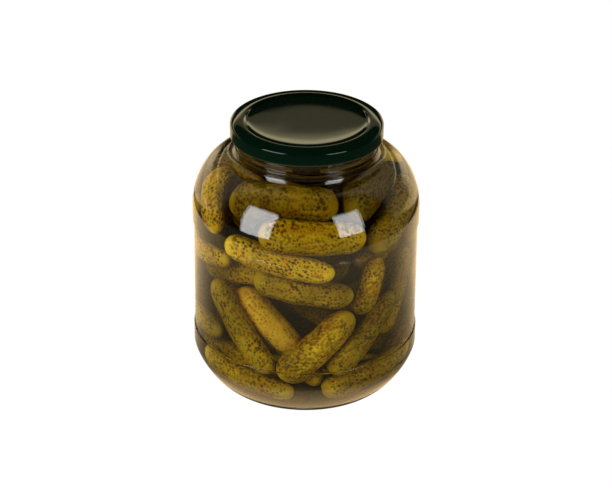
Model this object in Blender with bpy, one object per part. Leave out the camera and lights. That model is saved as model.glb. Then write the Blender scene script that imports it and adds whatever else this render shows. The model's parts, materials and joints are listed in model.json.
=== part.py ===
"""A wide-mouth glass jar of gherkins in brine, closed by a six-lug twist-off lid.

Metres, +Z up. The origin is the centre of the ring that the jar stands on, and the photograph looks
along +Y. Every piece is a solid of its own: the glass jar, the pressed lid with its lugs, the sealing
compound in the lid's channel, the brine above the gherkins, and the gherkins themselves.
"""

import math

import bmesh
import bpy
import numpy as np
from mathutils.bvhtree import BVHTree

MM = 0.001

# Gaps that neighbouring solids keep
SEAT_GAP = 0.3 * MM
RUNNING_GAP = 0.4 * MM

# Glass jar, outside, from the table up
BODY_RADIUS = 77.0 * MM
WALL = 3.2 * MM
BEARING_RADIUS = 59.4 * MM
BEARING_WIDTH = 3.0 * MM
PUNT_RISE = 2.4 * MM
PUNT_SLOPE = 5.0 * MM
BASE_THICKNESS = 6.4 * MM
FLOOR_CROWN = 1.2 * MM
HEEL_HEIGHT = 27.2 * MM
HEEL_PROUD = 0.75 * MM
HEEL_BAND = 12.7 * MM
PANEL_HEIGHT = 80.4 * MM
BAND_STEP = 0.9 * MM
SHOULDER_PROUD = 0.9 * MM
SHOULDER_BAND = 11.2 * MM
SHOULDER_RISE = 34.5 * MM
HEEL_FULLNESS_SHARE = 1.498
SHOULDER_FULLNESS_SHARE = 1.123

# Glass neck and its finish
NECK_RADIUS = 47.9 * MM
NECK_WALL = 3.2 * MM
NECK_FILLET = 7.8 * MM
NECK_FILLET_RISE = 4.6 * MM
BEAD_ABOVE_FILLET = 2.4 * MM
BEAD_PROUD = 1.0 * MM
BEAD_HEIGHT = 2.4 * MM
RIM_ABOVE_BEAD = 15.6 * MM
RIM_ROUNDING = 1.4 * MM

# Sloped glass threads, under which the lid's lugs hook
THREADS = 6
THREAD_PROUD = 2.2 * MM
THREAD_THICKNESS = 1.7 * MM
THREAD_CLIMB = 1.8 * MM
THREAD_ARC_SHARE = 0.66
THREAD_BITE = 0.9 * MM

# Lid
SHEET = 0.5 * MM
LID_HEIGHT = 11.0 * MM
CURL_DEPTH = 0.9 * MM
CURL_HEIGHT = 1.8 * MM
LID_CORNER = 2.6 * MM
CHANNEL_WIDTH = 8.0 * MM
PANEL_STEP = 1.6 * MM
PANEL_DROP = 1.2 * MM
PANEL_DISH = 0.5 * MM
DISH_RING_SHARE = 0.5
DISH_DEPTH_SHARE = 0.75
STEP_EDGE_SHARE = 0.2
LUG_WIDTH = 10.5 * MM
LUG_THICKNESS = 1.3 * MM
LUG_LIFT = 0.3 * MM
LUG_NECK_GAP = 0.5 * MM

# Sealing compound
SEAL_WIDTH = 3.6 * MM
SEAL_THICKNESS = 0.8 * MM
SEAL_CHAMFER = 0.2 * MM

# Brine and gherkins
HEADSPACE = 6.2 * MM
BRINE_DEPTH = 14.0 * MM
MENISCUS = 1.2 * MM
GHERKIN_LENGTH_SHARE = 0.894
GHERKIN_GIRTH_SHARE = 0.244

# How finely round pieces are divided
TURNS = 48
HEEL_POINTS = 7
SHOULDER_POINTS = 7
ROUNDING_POINTS = 3
THREAD_STATIONS = 7
SMOOTH_BELOW = math.radians(40)
GHERKIN_SIDES = 10
GHERKIN_RINGS = 6

# Heights that follow from the sizes above
HEEL_TOP = HEEL_HEIGHT + HEEL_BAND
PANEL_TOP = HEEL_TOP + PANEL_HEIGHT
SHOULDER_START = PANEL_TOP + SHOULDER_BAND
SHOULDER_TOP = SHOULDER_START + SHOULDER_RISE
FILLET_TOP = SHOULDER_TOP + NECK_FILLET_RISE
BEAD_BOTTOM = FILLET_TOP + BEAD_ABOVE_FILLET
RIM = BEAD_BOTTOM + BEAD_HEIGHT + RIM_ABOVE_BEAD
LID_TOP = RIM + SEAT_GAP + SEAL_THICKNESS + SEAT_GAP + SHEET
LID_BOTTOM = LID_TOP - LID_HEIGHT
BRINE_LEVEL = LID_TOP - SHEET - PANEL_DROP - PANEL_DISH - HEADSPACE
FILL_TOP = BRINE_LEVEL - BRINE_DEPTH - SEAT_GAP

# Radii that follow from the sizes above
BORE_RADIUS = NECK_RADIUS - NECK_WALL
INNER_RADIUS = BODY_RADIUS - WALL
THREAD_RADIUS = NECK_RADIUS + THREAD_PROUD
CURL_RADIUS = THREAD_RADIUS + RUNNING_GAP
SKIRT_INSIDE = CURL_RADIUS + CURL_DEPTH
LID_RADIUS = SKIRT_INSIDE + SHEET
CHANNEL_INSIDE = LID_RADIUS - CHANNEL_WIDTH
FLOOR_RADIUS = BEARING_RADIUS - BEARING_WIDTH
GHERKIN_LENGTH = INNER_RADIUS * GHERKIN_LENGTH_SHARE
GHERKIN_GIRTH = INNER_RADIUS * GHERKIN_GIRTH_SHARE
PITCH = 2 * math.pi / THREADS

# Gherkins that show, one row each: degrees round the jar from the front towards +X, share of the
# filled height, degrees of tilt along the glass (90 is upright), degrees that its far end leans out to
# the glass, and shares of the length and girth. They are laid in this order.
FRONT_SHARES = [
    (-18, 0.956, 7, 0, 1.06, 1.24),
    (4, 0.805, -3, 0, 1.04, 1.12),
    (-16, 0.682, -10, 0, 1.12, 0.96),
    (-1, 0.553, -12, 0, 0.98, 1.04),
    (57, 0.955, 5, 0, 0.92, 1.14),
    (64, 0.80, 21, 0, 0.92, 1.12),
    (-69, 0.845, -46, 0, 0.62, 1.00),
    (-38, 0.07, -12, 0, 1.04, 0.74),
    (43, 0.09, 12, 0, 1.08, 0.86),
    (7, 0.288, 47, 0, 1.00, 1.18),
    (-40, 0.335, -49, 0, 1.10, 1.00),
    (-27, 0.35, -47, 0, 0.88, 1.12),
    (36, 0.318, 47, 0, 1.02, 0.96),
    (42, 0.525, 72, 0, 0.64, 0.86),
    (-53, 0.55, 16, 0, 0.88, 0.86),
    (-66, 0.61, 13, 0, 0.72, 0.80),
    (67, 0.645, 13, 0, 0.68, 0.90),
    (68, 0.50, 64, 0, 0.62, 0.78),
    (69, 0.37, 57, 0, 0.66, 0.76),
    (-74, 0.42, -80, 0, 0.66, 0.72),
    (-73, 0.265, 6, 0, 0.66, 0.92),
    (58, 0.235, 5, 0, 0.80, 0.94),
    (3, 0.05, 0, 80, 0.80, 0.78),
    (-60, 0.17, 0, 0, 0.70, 0.78),
    (48, 0.56, 0, 66, 0.80, 1.10),
    (-1, 0.43, -24, 45, 0.90, 0.86),
    (-84, 0.96, 26, 0, 0.80, 0.90),
    (-50, 0.97, 60, 20, 0.66, 0.90),
]
BACK_SHARES = [
    (98, 0.90, 20, 0, 0.84, 0.94),
    (134, 0.93, -14, 0, 1.04, 0.98),
    (178, 0.92, 8, 0, 1.06, 1.04),
    (-136, 0.92, -16, 0, 0.98, 0.96),
    (-106, 0.80, 52, 0, 0.82, 0.90),
    (104, 0.73, -58, 0, 0.94, 0.94),
    (-168, 0.73, -10, 0, 0.98, 0.94),
    (100, 0.52, 24, 0, 0.98, 0.96),
    (144, 0.58, -14, 0, 1.02, 0.94),
    (-170, 0.54, 44, 0, 0.96, 0.96),
    (-96, 0.58, 76, 0, 0.98, 0.92),
    (104, 0.34, -48, 0, 1.04, 0.94),
    (142, 0.42, 38, 0, 1.04, 1.00),
    (-178, 0.37, -28, 0, 1.06, 0.96),
    (-138, 0.36, 60, 0, 0.98, 0.98),
    (-108, 0.30, -20, 0, 0.76, 0.84),
    (92, 0.15, 16, 0, 1.04, 0.96),
    (132, 0.17, -24, 0, 1.00, 0.98),
    (176, 0.15, 16, 0, 1.02, 0.96),
    (-138, 0.13, -8, 0, 1.06, 0.98),
]
SKINS = ["light", "olive", "dark"]
SKIN_OF_FRONT = (
    "light light light olive dark dark light olive olive light dark light olive light "
    "olive light light olive light light olive dark light olive dark dark dark dark"
).split()

# Hidden gherkins in the middle, in the same columns
CORE_SHARES = [
    (20, 0.13, 40, 0, 1.25, 1.60),
    (-150, 0.16, 40, 0, 1.20, 1.50),
    (110, 0.34, 40, 0, 1.20, 1.50),
    (-60, 0.36, 40, 0, 1.15, 1.50),
    (200, 0.52, 40, 0, 1.15, 1.40),
    (10, 0.55, 40, 0, 1.15, 1.40),
    (100, 0.72, 40, 0, 1.15, 1.40),
    (-70, 0.76, 40, 0, 1.15, 1.40),
]

# A gherkin that finds no room is laid smaller, by these shares in turn
FIT_SHARES = [1.0, 0.94, 0.88, 0.82, 0.76, 0.7, 0.64, 0.58, 0.52, 0.46, 0.4, 0.34, 0.28]

# Form of a gherkin, as shares of its length and girth
END_FULLNESS_SHARE = 3.6
TAPER_SHARE = 0.07
BEND_SHARE = 0.045
AXIS_SAMPLES = 21
EDGE_SHARES = [0.0, 0.2, 0.4, 0.6, 0.8]

# Settling a gherkin on its neighbours: how far off they are looked for, and the most moves
SETTLE_REACH = 4.0 * MM
SETTLE_MOVES = 8

# How far a gherkin may swing from its tilt, and what a radian of swing costs, as a share of girth
SMALL_SWINGS = [math.radians(degrees) for degrees in (0, 3, -3, 8, -8)]
WIDE_SWINGS = [math.radians(degrees) for degrees in (0, 25, -25)]
SWING_COST_SHARE = 4.0


def material(name, colour, roughness, metallic=0.0, transmission=0.0, ior=1.45):
    """A Principled material, made once."""
    made = bpy.data.materials.new(name)
    made.use_nodes = True
    shader = made.node_tree.nodes["Principled BSDF"]
    shader.inputs["Base Color"].default_value = (*colour, 1)
    shader.inputs["Roughness"].default_value = roughness
    shader.inputs["Metallic"].default_value = metallic
    shader.inputs["Transmission Weight"].default_value = transmission
    shader.inputs["IOR"].default_value = ior
    made.diffuse_color = (*colour, 1)
    return made


def add_object(name, form, finish=None):
    """A smooth object at the origin from a bmesh."""
    mesh = bpy.data.meshes.new(name)
    bmesh.ops.recalc_face_normals(form, faces=form.faces)
    form.to_mesh(mesh)
    form.free()
    if finish:
        mesh.materials.append(finish)
    mesh.shade_smooth()
    mesh.set_sharp_from_angle(angle=SMOOTH_BELOW)
    made = bpy.data.objects.new(name, mesh)
    bpy.context.scene.collection.objects.link(made)
    return made


def hide_helper(helper):
    """Keeps a body that a Boolean reads out of the model."""
    helper.hide_render = True
    helper.display_type = "WIRE"


def join_to(piece, helper):
    """Fuses a helper body to a piece."""
    fuse = piece.modifiers.new(helper.name, "BOOLEAN")
    fuse.operation = "UNION"
    fuse.solver = "EXACT"
    fuse.object = helper
    hide_helper(helper)


def turn_profile(profile, loop=False):
    """A bmesh turned about +Z from (radius, height) points. A point on the axis becomes a pole."""
    form = bmesh.new()
    rings = []
    for radius, height in profile:
        if radius == 0:
            rings.append([form.verts.new((0, 0, height))])
            continue
        angles = [2 * math.pi * turn / TURNS for turn in range(TURNS)]
        rings.append([form.verts.new((radius * math.cos(a), radius * math.sin(a), height)) for a in angles])
    pairs = list(zip(rings, rings[1:]))
    if loop:
        pairs.append((rings[-1], rings[0]))
    for low, high in pairs:
        for here in range(TURNS):
            there = (here + 1) % TURNS
            if len(low) == 1:
                form.faces.new((low[0], high[here], high[there]))
            elif len(high) == 1:
                form.faces.new((low[here], low[there], high[0]))
            else:
                form.faces.new((low[here], low[there], high[there], high[here]))
    return form


def quarter(start, end, points, fullness=1.0, from_flat=True):
    """Points of a rounded corner between two (radius, height) places, both ends included.

    From flat, it leaves the start level and reaches the end upright, and otherwise the other way.
    """
    places = []
    for step in range(points + 1):
        turn = 0.5 * math.pi * step / points
        rising = 1 - math.cos(turn) ** fullness
        running = math.sin(turn) ** fullness
        across, up = (running, rising) if from_flat else (rising, running)
        places.append((start[0] + (end[0] - start[0]) * across, start[1] + (end[1] - start[1]) * up))
    return places


def outer_profile():
    """The glass from the middle of the base, up the outside, to the top of the rim."""
    heel_radius = BODY_RADIUS + HEEL_PROUD
    shoulder_radius = BODY_RADIUS + SHOULDER_PROUD
    bead_middle = BEAD_BOTTOM + BEAD_HEIGHT / 2
    punt_edge = BEARING_RADIUS - BEARING_WIDTH
    profile = [(0, PUNT_RISE), (punt_edge - PUNT_SLOPE, PUNT_RISE), (punt_edge, 0)]
    profile += quarter((BEARING_RADIUS, 0), (heel_radius, HEEL_HEIGHT), HEEL_POINTS, HEEL_FULLNESS_SHARE)
    profile += [(heel_radius, HEEL_TOP - BAND_STEP), (BODY_RADIUS, HEEL_TOP)]
    profile += [(BODY_RADIUS, PANEL_TOP), (shoulder_radius, PANEL_TOP + BAND_STEP)]
    neck_foot = (NECK_RADIUS + NECK_FILLET, SHOULDER_TOP)
    profile += quarter(
        (shoulder_radius, SHOULDER_START), neck_foot, SHOULDER_POINTS, SHOULDER_FULLNESS_SHARE, False
    )
    profile += quarter(neck_foot, (NECK_RADIUS, FILLET_TOP), ROUNDING_POINTS)[1:]
    profile += [
        (NECK_RADIUS, BEAD_BOTTOM),
        (NECK_RADIUS + BEAD_PROUD, bead_middle - BEAD_HEIGHT / 4),
        (NECK_RADIUS + BEAD_PROUD, bead_middle + BEAD_HEIGHT / 4),
        (NECK_RADIUS, BEAD_BOTTOM + BEAD_HEIGHT),
    ]
    profile += quarter((NECK_RADIUS, RIM - RIM_ROUNDING), (NECK_RADIUS - RIM_ROUNDING, RIM),
                       ROUNDING_POINTS, 1.0, False)
    return profile


def inner_profile():
    """The inside of the glass, from the top of the rim down to the middle of the floor."""
    neck_foot = (BORE_RADIUS + NECK_FILLET, SHOULDER_TOP - WALL)
    profile = quarter((BORE_RADIUS, RIM - RIM_ROUNDING), (BORE_RADIUS + RIM_ROUNDING, RIM),
                      ROUNDING_POINTS, 1.0, False)[::-1]
    profile += quarter(neck_foot, (BORE_RADIUS, FILLET_TOP), ROUNDING_POINTS)[::-1]
    profile += quarter(
        (INNER_RADIUS, SHOULDER_START), neck_foot, SHOULDER_POINTS, SHOULDER_FULLNESS_SHARE, False
    )[-2::-1]
    profile += quarter(
        (FLOOR_RADIUS, BASE_THICKNESS), (INNER_RADIUS, HEEL_HEIGHT), HEEL_POINTS, HEEL_FULLNESS_SHARE
    )[::-1]
    profile.append((0, BASE_THICKNESS + FLOOR_CROWN))
    return profile


def sweep_arc(form, section_at, start, arc, stations):
    """Adds to the bmesh a closed body swept round +Z. section_at(share) gives its four corners."""
    rings = []
    for station in range(stations + 1):
        share = station / stations
        angle = start + arc * share
        rings.append([
            form.verts.new((radius * math.cos(angle), radius * math.sin(angle), height))
            for radius, height in section_at(share)
        ])
    for low, high in zip(rings, rings[1:]):
        for here in range(4):
            there = (here + 1) % 4
            form.faces.new((low[here], low[there], high[there], high[here]))
    form.faces.new(rings[0][::-1])
    form.faces.new(rings[-1])


def thread_underside(share):
    """Height of a thread's underside, from its low end to its high end."""
    low_end = LID_BOTTOM + LUG_LIFT + LUG_THICKNESS + SEAT_GAP
    return low_end + THREAD_CLIMB * share


def make_threads():
    """Six short sloped threads, which climb counter-clockwise as seen from above."""
    arc = PITCH * THREAD_ARC_SHARE
    foot = NECK_RADIUS - THREAD_BITE

    def section(share):
        under = thread_underside(share)
        crest = THREAD_THICKNESS / 2
        return [
            (foot, under),
            (THREAD_RADIUS, under),
            (THREAD_RADIUS, under + crest),
            (foot, under + THREAD_THICKNESS),
        ]

    form = bmesh.new()
    for thread in range(THREADS):
        sweep_arc(form, section, thread * PITCH - arc / 2, arc, THREAD_STATIONS)
    return add_object("threads", form)


def make_jar(glass):
    jar = add_object("glass_jar", turn_profile(outer_profile() + inner_profile()), glass)
    join_to(jar, make_threads())
    return jar


def lid_profile():
    """The pressed sheet: outside from the middle of the panel to the curl, then back up inside."""
    panel = LID_TOP - PANEL_DROP
    step_foot = CHANNEL_INSIDE - PANEL_STEP
    curl_middle = LID_BOTTOM + CURL_HEIGHT / 2
    inside_corner = LID_CORNER - SHEET
    dish_ring, dish = step_foot * DISH_RING_SHARE, panel - PANEL_DISH * DISH_DEPTH_SHARE
    step_edge = LID_TOP - PANEL_DROP * STEP_EDGE_SHARE
    profile = [(0, panel - PANEL_DISH), (dish_ring, dish), (step_foot, panel)]
    profile += [(CHANNEL_INSIDE, step_edge), (CHANNEL_INSIDE + PANEL_STEP, LID_TOP)]
    profile += quarter((LID_RADIUS, LID_TOP - LID_CORNER), (LID_RADIUS - LID_CORNER, LID_TOP),
                       ROUNDING_POINTS + 1, 1.0, False)[::-1]
    profile += [
        (LID_RADIUS, curl_middle),
        (LID_RADIUS - SHEET, LID_BOTTOM),
        (CURL_RADIUS + SHEET, LID_BOTTOM),
        (CURL_RADIUS, curl_middle),
        (CURL_RADIUS, LID_BOTTOM + CURL_HEIGHT),
        (SKIRT_INSIDE, LID_BOTTOM + CURL_HEIGHT + SHEET),
    ]
    profile += quarter((SKIRT_INSIDE, LID_TOP - LID_CORNER), (SKIRT_INSIDE - inside_corner, LID_TOP - SHEET),
                       ROUNDING_POINTS, 1.0, False)
    profile += [
        (CHANNEL_INSIDE + PANEL_STEP, LID_TOP - SHEET),
        (CHANNEL_INSIDE, step_edge - SHEET),
        (step_foot, panel - SHEET),
        (dish_ring, dish - SHEET),
        (0, panel - PANEL_DISH - SHEET),
    ]
    return profile


def make_lugs():
    """Six lugs pressed inward from the curl, each under the low end of a thread."""
    arc = LUG_WIDTH / NECK_RADIUS
    low = LID_BOTTOM + LUG_LIFT
    reach = NECK_RADIUS + LUG_NECK_GAP
    root = CURL_RADIUS + SHEET
    start = -PITCH * THREAD_ARC_SHARE / 2

    def section(share):
        return [(reach, low), (root, low), (root, low + LUG_THICKNESS), (reach, low + LUG_THICKNESS)]

    form = bmesh.new()
    for lug in range(THREADS):
        sweep_arc(form, section, lug * PITCH + start, arc, 2)
    return add_object("lugs", form)


def make_lid(enamel):
    lid = add_object("lid", turn_profile(lid_profile()), enamel)
    join_to(lid, make_lugs())
    return lid


def make_seal(compound):
    """The ring of soft compound between the rim and the channel of the lid."""
    middle = NECK_RADIUS - NECK_WALL / 2
    low = RIM + SEAT_GAP
    inside, outside = middle - SEAL_WIDTH / 2, middle + SEAL_WIDTH / 2
    profile = [
        (inside, low + SEAL_CHAMFER),
        (inside + SEAL_CHAMFER, low),
        (outside - SEAL_CHAMFER, low),
        (outside, low + SEAL_CHAMFER),
        (outside - SEAL_CHAMFER, low + SEAL_THICKNESS),
        (inside + SEAL_CHAMFER, low + SEAL_THICKNESS),
    ]
    return add_object("sealing_compound", turn_profile(profile, loop=True), compound)


def make_brine(liquid):
    """The free liquid in the neck, above the gherkins. Its rim climbs the glass a little."""
    radius = BORE_RADIUS - SEAT_GAP
    profile = [
        (0, BRINE_LEVEL - BRINE_DEPTH),
        (radius, BRINE_LEVEL - BRINE_DEPTH),
        (radius, BRINE_LEVEL),
        (radius - MENISCUS, BRINE_LEVEL - MENISCUS),
        (0, BRINE_LEVEL - MENISCUS),
    ]
    return add_object("brine", turn_profile(profile), liquid)


class Gherkin:
    """One gherkin's form and place: a tapered, slightly bent body round a middle line."""

    def __init__(self, length, girth):
        self.length, self.girth, self.bend = length, girth, length * BEND_SHARE
        self.middle, self.frame = np.zeros(3), np.identity(3)
        shares = (np.arange(AXIS_SAMPLES) + 0.5) / AXIS_SAMPLES
        self.spheres = np.array([self.axis_point(share) for share in shares])
        self.radii = np.array([self.radius(share) for share in shares])
        self.points, self.faces = self.build()

    def radius(self, along):
        """Radius at a share of the length."""
        across = abs(2 * along - 1) ** END_FULLNESS_SHARE
        return self.girth / 2 * math.sqrt(max(0, 1 - across)) * (1 - TAPER_SHARE * (2 * along - 1))

    def axis_point(self, along):
        """Place on the bent middle line, in the gherkin's own frame: X is its length, Y faces out."""
        share = 2 * along - 1
        return np.array((share * self.length / 2, self.bend * (1 - share * share), 0))

    def centres(self):
        """Centres, in the jar, of the spheres that fill the body. Their sizes are in radii."""
        return self.spheres @ self.frame.T + self.middle

    def turn(self, out, aside, up, tilt, lean):
        """Sets its direction from the glass's own: aside round the jar, up along it, and out of it."""
        line = aside * math.cos(tilt) + up * math.sin(tilt)
        line = line * math.cos(lean) + out * math.sin(lean)
        face = np.cross(np.cross(line, out), line)
        face /= np.linalg.norm(face)
        self.frame = np.column_stack((line, face, np.cross(line, face)))

    def build(self):
        """Points and faces of the closed body in its own frame, with a ridge facing out."""
        points, faces = [], []
        for ring in range(GHERKIN_RINGS):
            share = 0.5 - 0.5 * math.cos(math.pi * (ring + 1) / (GHERKIN_RINGS + 1))
            centre, radius = self.axis_point(share), self.radius(share)
            for side in range(GHERKIN_SIDES):
                angle = 2 * math.pi * side / GHERKIN_SIDES
                points.append(centre + (0, radius * math.cos(angle), radius * math.sin(angle)))
        points += [self.axis_point(0), self.axis_point(1)]
        start, end, last = len(points) - 2, len(points) - 1, (GHERKIN_RINGS - 1) * GHERKIN_SIDES
        for here in range(GHERKIN_SIDES):
            there = (here + 1) % GHERKIN_SIDES
            for low in range(0, last, GHERKIN_SIDES):
                high = low + GHERKIN_SIDES
                faces.append((low + here, high + here, high + there, low + there))
            faces.append((start, here, there))
            faces.append((end, last + there, last + here))
        return np.array(points), faces

    def placed(self):
        """Its points where it lies in the jar."""
        return self.points @ self.frame.T + self.middle

    def tree(self):
        """Its faces where it lies, for finding how near a place is to them."""
        return BVHTree.FromPolygons(self.placed().tolist(), self.faces)

    def edge_places(self):
        """Places along its edges where it lies."""
        placed = self.placed()
        edges = {tuple(sorted(pair)) for face in self.faces for pair in zip(face, face[1:] + face[:1])}
        starts, ends = placed[[edge[0] for edge in edges]], placed[[edge[1] for edge in edges]]
        return np.concatenate([starts + (ends - starts) * share for share in EDGE_SHARES])

    def form(self):
        """A bmesh of it where it lies."""
        form = bmesh.new()
        corners = [form.verts.new(point) for point in self.placed()]
        for face in self.faces:
            form.faces.new([corners[corner] for corner in face])
        return form


class Filling:
    """The gherkins laid so far. Each new one is pressed towards the glass until something stops it."""

    def __init__(self):
        self.centres, self.radii = np.zeros((0, 3)), np.zeros(0)
        self.wall = np.array([place for place in inner_profile() if place[1] < RIM - RIM_ROUNDING])
        self.facet = INNER_RADIUS * (1 - math.cos(math.pi / TURNS))
        glass = turn_profile(self.wall.tolist())
        self.glass, self.laid = BVHTree.FromBMesh(glass), []
        glass.free()

    def radius_at(self, height):
        return np.interp(height, self.wall[::-1, 1], self.wall[::-1, 0])

    def directions(self, angle, height):
        """The glass's own directions at a place: out of it, aside round the jar, and up along it."""
        away = np.array((math.sin(angle), -math.cos(angle), 0))
        aside = np.array((math.cos(angle), math.sin(angle), 0))
        spread = self.radius_at(height + WALL) - self.radius_at(height - WALL)
        up = away * spread + np.array((0, 0, 2 * WALL))
        up /= np.linalg.norm(up)
        return np.cross(aside, up), aside, up

    def room(self, centres, radii):
        """Least distance from a body to the glass, to the top of the fill and to what is laid."""
        places = np.column_stack((np.hypot(centres[:, 0], centres[:, 1]), centres[:, 2]))
        start, run = self.wall[:-1], np.diff(self.wall, axis=0)
        share = ((places[:, None] - start) * run).sum(axis=2) / (run * run).sum(axis=1)
        nearest = start + np.clip(share, 0, 1)[..., None] * run
        distance = np.linalg.norm(places[:, None] - nearest, axis=2).min(axis=1)
        inside = (places[:, 0] < self.radius_at(places[:, 1])) & (places[:, 1] > self.wall[-1, 1])
        glass = np.where(inside, distance, -distance) - self.facet
        found = min((glass - radii).min(), (FILL_TOP - places[:, 1] - radii).min())
        near = np.linalg.norm(self.centres - centres.mean(axis=0), axis=1) < 2 * GHERKIN_LENGTH
        if near.any():
            reach = np.linalg.norm(centres[:, None] - self.centres[near], axis=2)
            found = min(found, (reach - radii[:, None] - self.radii[near]).min())
        return found

    def press(self, gherkin, place, out):
        """Moves it in from the glass until it has room. Gives the depth, or None past the middle."""
        depth, deepest = gherkin.girth / 2, math.hypot(*place[:2])
        while depth < deepest:
            gherkin.middle = place - out * depth
            room = self.room(gherkin.centres(), gherkin.radii)
            if room >= SEAT_GAP:
                return depth
            depth += max(SEAT_GAP - room, SEAT_GAP / 4)
        return None

    def clearance(self, gherkin, tree, edges, move):
        """Least distance to the glass and to what is laid, after a move, as far as it is looked for."""
        found = min(SETTLE_REACH, FILL_TOP - (edges + move)[:, 2].max())
        for place in gherkin.placed() + move:
            found = min(found, self.glass.find_nearest(place)[3])
        middle, reach = gherkin.middle + move, gherkin.length / 2 + SETTLE_REACH
        for there, there_edges, there_middle, there_reach in self.laid:
            if np.linalg.norm(middle - there_middle) > reach + there_reach:
                continue
            mine = edges + move
            mine = mine[np.linalg.norm(mine - there_middle, axis=1) < there_reach]
            theirs = there_edges[np.linalg.norm(there_edges - middle, axis=1) < reach] - move
            for surface, places in ((there, mine), (tree, theirs)):
                for place in places:
                    distance = surface.find_nearest(place, found)[3]
                    found = found if distance is None else min(found, distance)
        return found

    def settle(self, gherkin, out):
        """Moves it on towards the glass until its faces come up against something."""
        tree, edges, move = gherkin.tree(), gherkin.edge_places(), np.zeros(3)
        for step in range(SETTLE_MOVES):
            left = self.clearance(gherkin, tree, edges, move) - SEAT_GAP
            if left < SEAT_GAP / 10:
                break
            move = move + out * left
        gherkin.middle = gherkin.middle + move
        reach = gherkin.length / 2 + SETTLE_REACH
        self.laid.append((gherkin.tree(), gherkin.edge_places(), gherkin.middle, reach))

    def lay(self, gherkin, angle, share, tilt, lean, swings):
        """Lays a gherkin at an angle and height, swung to whichever side brings it nearest the glass."""
        height = BASE_THICKNESS + (FILL_TOP - BASE_THICKNESS) * share
        out, aside, up = self.directions(angle, height)
        radius = float(self.radius_at(height))
        place = np.array((radius * math.sin(angle), -radius * math.cos(angle), height))
        best = None
        for swing in swings:
            gherkin.turn(out, aside, up, tilt + swing, lean)
            depth = self.press(gherkin, place, out)
            if depth is None:
                continue
            cost = depth + abs(swing) * gherkin.girth * SWING_COST_SHARE
            if best is None or cost < best[0]:
                best = (cost, gherkin.middle, gherkin.frame)
        if best:
            gherkin.middle, gherkin.frame = best[1:]
            self.settle(gherkin, out)
            self.centres = np.concatenate((self.centres, gherkin.centres()))
            self.radii = np.concatenate((self.radii, gherkin.radii))
        return best is not None


def lay_row(filling, row, swings):
    """Lays one row's gherkin, smaller where it would find no room."""
    angle, share, tilt, lean, length_share, girth_share = row
    angle, tilt, lean = (math.radians(degrees) for degrees in (angle, tilt, lean))
    for fit in FIT_SHARES:
        gherkin = Gherkin(GHERKIN_LENGTH * length_share * fit, GHERKIN_GIRTH * girth_share * fit)
        if filling.lay(gherkin, angle, share, tilt, lean, swings):
            return gherkin
    raise ValueError("The jar is too small for its gherkins")


def lay_gherkins(skins):
    """One object for each gherkin, the ones that show first."""
    filling = Filling()
    for count, row in enumerate(FRONT_SHARES + BACK_SHARES, start=1):
        if count <= len(SKIN_OF_FRONT):
            skin = SKIN_OF_FRONT[count - 1]
        else:
            skin = SKINS[count % len(SKINS)]
        add_object(f"gherkin_{count:02d}", lay_row(filling, row, SMALL_SWINGS).form(), skins[skin])
    for count, row in enumerate(CORE_SHARES, start=1):
        add_object(f"core_gherkin_{count}", lay_row(filling, row, WIDE_SWINGS).form(), skins["dark"])


def main():
    for old in list(bpy.data.objects):
        bpy.data.objects.remove(old)
    glass = material("clear glass", (0.93, 0.96, 0.94), 0.03, transmission=1.0, ior=1.52)
    enamel = material("green enamel", (0.004, 0.045, 0.03), 0.18, metallic=0.1)
    compound = material("pale sealing compound", (0.72, 0.70, 0.64), 0.55)
    liquid = material("brine", (0.72, 0.66, 0.36), 0.03, transmission=0.9, ior=1.34)
    skins = {
        "light": material("light gherkin skin", (0.42, 0.36, 0.07), 0.45),
        "olive": material("olive gherkin skin", (0.30, 0.26, 0.045), 0.45),
        "dark": material("dark gherkin skin", (0.17, 0.15, 0.03), 0.45),
    }
    make_jar(glass)
    make_lid(enamel)
    make_seal(compound)
    make_brine(liquid)
    lay_gherkins(skins)


main()
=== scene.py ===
import json
import math

import bmesh
import bpy
import numpy as np
from mathutils import Matrix, Vector


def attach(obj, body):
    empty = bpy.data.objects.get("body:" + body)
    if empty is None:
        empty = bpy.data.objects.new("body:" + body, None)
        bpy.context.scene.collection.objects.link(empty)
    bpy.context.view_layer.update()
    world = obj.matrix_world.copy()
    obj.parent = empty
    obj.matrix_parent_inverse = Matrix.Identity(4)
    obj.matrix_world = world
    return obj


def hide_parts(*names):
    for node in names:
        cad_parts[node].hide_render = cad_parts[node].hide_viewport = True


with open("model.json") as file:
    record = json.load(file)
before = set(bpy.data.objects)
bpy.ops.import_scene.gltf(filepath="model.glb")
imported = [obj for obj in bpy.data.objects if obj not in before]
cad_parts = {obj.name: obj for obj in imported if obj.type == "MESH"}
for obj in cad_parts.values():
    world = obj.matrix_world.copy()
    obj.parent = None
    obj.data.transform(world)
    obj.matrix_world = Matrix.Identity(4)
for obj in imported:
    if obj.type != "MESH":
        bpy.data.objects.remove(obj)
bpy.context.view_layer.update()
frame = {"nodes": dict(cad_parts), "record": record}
mm = 0.001
print("frame loaded:", len(frame["nodes"]), "pieces")


# Camera
shot = {
    "elevation": math.radians(28.176),  # above level, looking along +Y
    "roll": math.radians(0.57),
    "distance": 1.6273,
    "aimHeight": 0.09251,
    "focalPixels": 2346.8,
    "frame": (612, 488),
    "aimPixel": (305.6, 250.96),  # where the aim point falls in the frame
    "sensor": 36.0,
}


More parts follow.
